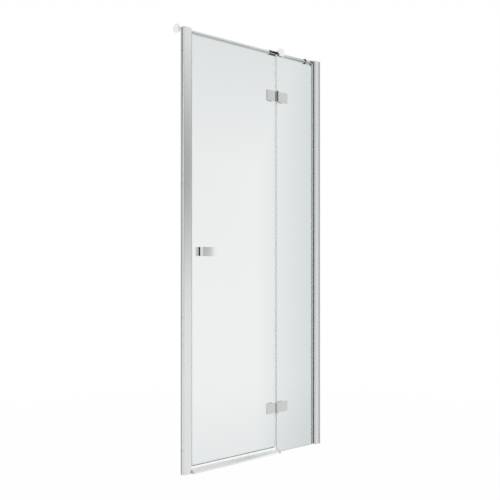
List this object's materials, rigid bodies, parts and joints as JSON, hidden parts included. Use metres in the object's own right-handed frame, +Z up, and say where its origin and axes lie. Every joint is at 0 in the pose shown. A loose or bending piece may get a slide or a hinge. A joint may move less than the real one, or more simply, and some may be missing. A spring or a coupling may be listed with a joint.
{
  "type": "hinged shower door",
  "caption": "Clear glass shower door for a recess: hinged leaf with a bow handle beside a fixed panel, chrome hinges, two wall profiles, stabiliser tube and threshold bar.",
  "frame": {"origin": "on the tray, in the middle of the opening's width and in the middle of the glass, at the underside of the threshold's web", "axes": "+X across the opening to the right seen from outside, +Y into the shower, +Z up; the front faces -Y"},
  "size_m": [0.9, 0.087, 1.9705],
  "materials": {
    "bright_aluminium": "polished, bright silver",
    "plain_aluminium": "mill finish, hidden in the profiles",
    "chrome": "polished chrome plate",
    "dark_metal": "gun-metal grey, semi-gloss",
    "stainless": "satin stainless steel",
    "clear_glass": "clear toughened safety glass, polished edges",
    "clear_vinyl": "clear extruded vinyl",
    "white_plastic": "moulded, semi-gloss",
    "grey_plastic": "matt, die-cut or moulded",
    "ivory_nylon": "natural nylon",
    "dark_rubber": "matt black",
    "magnet_strip": "flexible magnet strip, coated pale grey"
  },
  "bodies": {
    "frame": {"left_wall_channel": "plain_aluminium", "left_cover_profile": "bright_aluminium", "left_top_cap": "bright_aluminium", "left_profile_screws": "stainless", "strike_profile": "white_plastic", "strike_magnet": "magnet_strip", "right_wall_channel": "plain_aluminium", "right_cover_profile": "bright_aluminium", "right_top_cap": "bright_aluminium", "right_profile_screws": "stainless", "glazing_gasket_front": "dark_rubber", "glazing_gasket_back": "grey_plastic", "setting_blocks": "clear_vinyl", "fixed_glass": "clear_glass", "threshold_bar": "bright_aluminium", "threshold_left_cap": "white_plastic", "threshold_right_cap": "white_plastic", "stabiliser_tube": "chrome", "left_tube_socket": "chrome", "left_rosette": "chrome", "right_tube_socket": "chrome", "right_rosette": "chrome", "tube_end_ring": "dark_rubber", "tube_set_screws": "stainless", "clamp_body": "dark_metal", "clamp_front_jaw": "chrome", "clamp_pads": "dark_rubber", "clamp_screw": "stainless", "upper_panel_plate": "chrome", "upper_panel_back_plate": "chrome", "upper_panel_pads": "grey_plastic", "upper_hinge_pin": "chrome", "lower_panel_plate": "chrome", "lower_panel_back_plate": "chrome", "lower_panel_pads": "grey_plastic", "lower_hinge_pin": "chrome", "panel_hinge_screws": "stainless", "hinge_pin_set_screws": "stainless"},
    "door_leaf": {"door_glass": "clear_glass", "latch_seal": "clear_vinyl", "latch_magnet": "magnet_strip", "hinge_side_seal": "clear_vinyl", "bottom_seal": "clear_vinyl", "upper_door_plate": "chrome", "upper_door_back_plate": "chrome", "upper_door_pads": "grey_plastic", "upper_hinge_bushes": "ivory_nylon", "lower_door_plate": "chrome", "lower_door_back_plate": "chrome", "lower_door_pads": "grey_plastic", "lower_hinge_bushes": "ivory_nylon", "door_hinge_screws": "stainless", "outer_handle": "chrome", "inner_handle": "chrome", "handle_pads": "dark_rubber", "handle_studs": "stainless", "handle_sleeves": "dark_rubber"}
  },
  "joints": [
    {"name": "door_swing", "type": "hinge", "parent": "frame", "child": "door_leaf", "pos_m": [0.134, -0.0125, 0.975], "axis": [0, 0, 1], "range_deg": [0, 105]}
  ]
}
